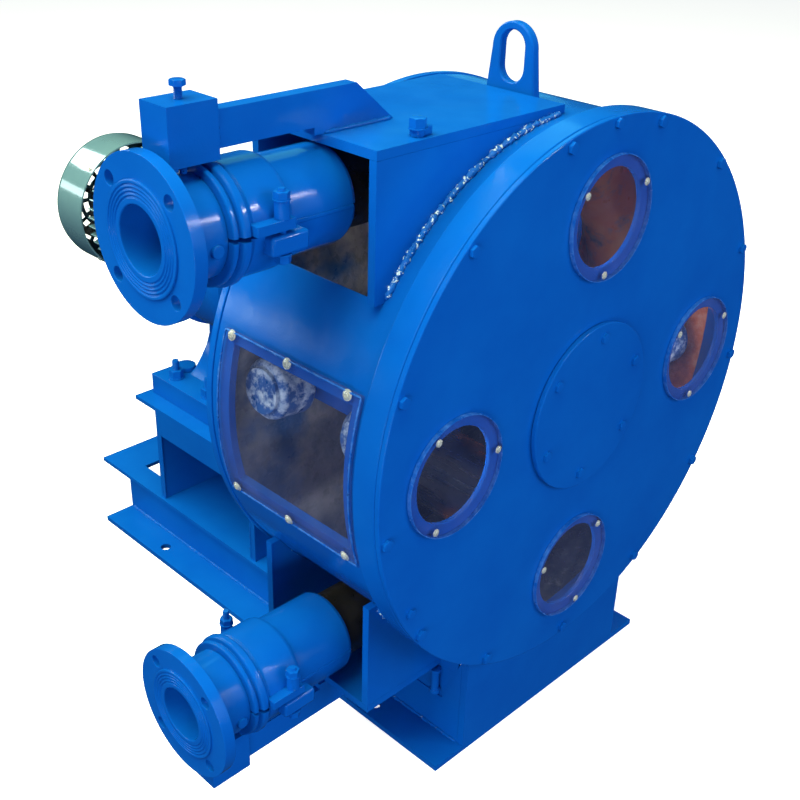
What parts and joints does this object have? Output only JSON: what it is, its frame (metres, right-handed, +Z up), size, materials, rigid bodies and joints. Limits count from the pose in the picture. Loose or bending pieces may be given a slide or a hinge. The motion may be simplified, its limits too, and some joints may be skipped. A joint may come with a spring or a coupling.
{
  "type": "peristaltic hose pump",
  "caption": "Peristaltic hose pump: round drum with see-through covers, two flanged ports, lifting eye and in-line gear motor on a welded skid.",
  "frame": {"origin": "on the floor, at the middle of the underside of the skid's front support plate", "axes": "+X to the right seen from the front cover (the ports face -X), +Y back along the rotor shaft from the front cover to the motor, +Z up"},
  "size_m": [1.028, 1.2843, 1.084],
  "materials": {
    "blue_paint": "glossy enamel over welded steel and castings",
    "teal_paint": "glossy motor enamel",
    "bright_steel": "turned and ground steel",
    "cast_rollers": "as cast, wet with lubricant",
    "hose_rubber": "smooth natural rubber, lightly greased",
    "clear_panel": "clear acrylic, polished",
    "fan_plastic": "moulded plastic"
  },
  "bodies": {
    "pump_frame": {"front_cover": "blue_paint", "hub_cover": "blue_paint", "front_ring": "blue_paint", "drum_shell": "blue_paint", "back_plate": "blue_paint", "lifting_eye": "blue_paint", "upper_box_front_plate": "blue_paint", "upper_box_back_plate": "blue_paint", "upper_box_cap_plate": "blue_paint", "upper_reaction_arm": "blue_paint", "upper_port_flange": "blue_paint", "upper_clamp_outer_half": "blue_paint", "upper_clamp_inner_half": "blue_paint", "lower_box_front_plate": "blue_paint", "lower_box_back_plate": "blue_paint", "lower_box_cap_plate": "blue_paint", "lower_reaction_arm": "blue_paint", "lower_port_flange": "blue_paint", "lower_clamp_outer_half": "blue_paint", "lower_clamp_inner_half": "blue_paint", "left_foot_rail": "blue_paint", "right_foot_rail": "blue_paint", "front_support_plate": "blue_paint", "rear_saddle_plate": "blue_paint", "deck_plate": "blue_paint", "pedestal_front_plate": "blue_paint", "pedestal_back_plate": "blue_paint", "bearing_seat": "blue_paint", "bearing_housing": "blue_paint", "gear_table": "blue_paint", "table_rear_leg": "blue_paint", "gearbox_nose": "blue_paint", "gearbox_housing": "blue_paint", "motor_body": "teal_paint", "fan_cowl": "teal_paint", "terminal_box": "teal_paint", "top_window": "clear_panel", "right_window": "clear_panel", "bottom_window": "clear_panel", "left_window": "clear_panel", "side_window": "clear_panel", "pump_hose": "hose_rubber", "rotor_bearing": "bright_steel"},
    "rotor": {"rotor_frame": "blue_paint", "press_roller_axle_a": "bright_steel", "press_roller_axle_b": "bright_steel", "rotor_shaft": "bright_steel", "shaft_coupling": "cast_rollers", "output_shaft": "bright_steel"},
    "press_roller_a": {"press_roller_a": "bright_steel"},
    "press_roller_b": {"press_roller_b": "bright_steel"},
    "guide_roller_a_front": {"guide_roller_a_front": "cast_rollers"},
    "guide_roller_a_back": {"guide_roller_a_back": "cast_rollers"},
    "guide_roller_b_front": {"guide_roller_b_front": "cast_rollers"},
    "guide_roller_b_back": {"guide_roller_b_back": "cast_rollers"},
    "upper_jack": {"upper_jack_bolt": "blue_paint"},
    "lower_jack": {"lower_jack_bolt": "blue_paint"},
    "motor_rotor": {"motor_shaft": "bright_steel", "cooling_fan": "fan_plastic"},
    "cycloid": {"cycloid_disc": "bright_steel"}
  },
  "joints": [
    {"name": "rotor_spin", "type": "hinge", "parent": "pump_frame", "child": "rotor", "pos_m": [0, 0.166, 0.569], "axis": [0, 1, 0], "continuous": true},
    {"name": "press_roller_a_spin", "type": "hinge", "parent": "rotor", "child": "press_roller_a", "pos_m": [0.02157, 0.166, 0.78895], "axis": [0, 1, 0], "continuous": true},
    {"name": "press_roller_b_spin", "type": "hinge", "parent": "rotor", "child": "press_roller_b", "pos_m": [-0.02157, 0.166, 0.34906], "axis": [0, 1, 0], "continuous": true},
    {"name": "guide_roller_a_front_spin", "type": "hinge", "parent": "rotor", "child": "guide_roller_a_front", "pos_m": [-0.33141, 0.066, 0.6015], "axis": [-0.9952, 0, 0.0976], "continuous": true},
    {"name": "guide_roller_a_back_spin", "type": "hinge", "parent": "rotor", "child": "guide_roller_a_back", "pos_m": [-0.33141, 0.266, 0.6015], "axis": [-0.9952, 0, 0.0976], "continuous": true},
    {"name": "guide_roller_b_front_spin", "type": "hinge", "parent": "rotor", "child": "guide_roller_b_front", "pos_m": [0.33141, 0.066, 0.53651], "axis": [0.9952, 0, -0.0976], "continuous": true},
    {"name": "guide_roller_b_back_spin", "type": "hinge", "parent": "rotor", "child": "guide_roller_b_back", "pos_m": [0.33141, 0.266, 0.53651], "axis": [0.9952, 0, -0.0976], "continuous": true},
    {"name": "motor_spin", "type": "hinge", "parent": "pump_frame", "child": "motor_rotor", "pos_m": [0, 0.969, 0.569], "axis": [0, 1, 0], "continuous": true},
    {"name": "cycloid_spin", "type": "hinge", "parent": "motor_rotor", "child": "cycloid", "pos_m": [0.003, 0.742, 0.569], "axis": [0, 1, 0], "continuous": true},
    {"name": "upper_jack_slide", "type": "slide", "parent": "pump_frame", "child": "upper_jack", "axis": [0, 0, 1], "range_m": [0, 0.012]},
    {"name": "lower_jack_slide", "type": "slide", "parent": "pump_frame", "child": "lower_jack", "axis": [0, 0, -1], "range_m": [0, 0.012]}
  ],
  "couplings": [
    {"joint": "press_roller_a_spin", "follows": "rotor_spin", "ratio": -4.1571},
    {"joint": "press_roller_b_spin", "follows": "rotor_spin", "ratio": -4.1571},
    {"joint": "guide_roller_a_front_spin", "follows": "rotor_spin", "ratio": 7.4},
    {"joint": "guide_roller_a_back_spin", "follows": "rotor_spin", "ratio": -7.4},
    {"joint": "guide_roller_b_front_spin", "follows": "rotor_spin", "ratio": 7.4},
    {"joint": "guide_roller_b_back_spin", "follows": "rotor_spin", "ratio": -7.4},
    {"joint": "motor_spin", "follows": "rotor_spin", "ratio": -35},
    {"joint": "cycloid_spin", "follows": "rotor_spin", "ratio": 36}
  ]
}
